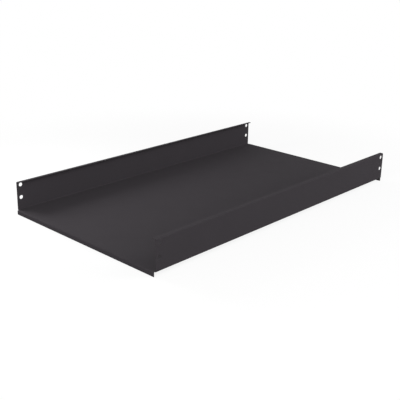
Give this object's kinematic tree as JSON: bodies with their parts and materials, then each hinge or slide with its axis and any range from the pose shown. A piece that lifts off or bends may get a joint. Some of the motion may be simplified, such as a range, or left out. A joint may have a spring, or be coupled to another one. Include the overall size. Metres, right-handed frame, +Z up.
{
  "type": "cantilever rack shelf",
  "caption": "Long folded-steel rack shelf with upright side walls, turned-in wall flanges, turned-down front and rear lips and screw holes in the wall ends.",
  "frame": {"origin": "midway across and along the shelf, at the height of the lower edges of the lips that it stands on", "axes": "+X across the shelf, +Y along its depth from the front lip to the rear lip, +Z up out of the deck"},
  "size_m": [0.4826, 0.8636, 0.0815],
  "materials": {
    "powder_coat": "satin black powder coat on folded steel sheet"
  },
  "bodies": {
    "root": {"shelf_pan": "powder_coat"}
  },
  "joints": []
}
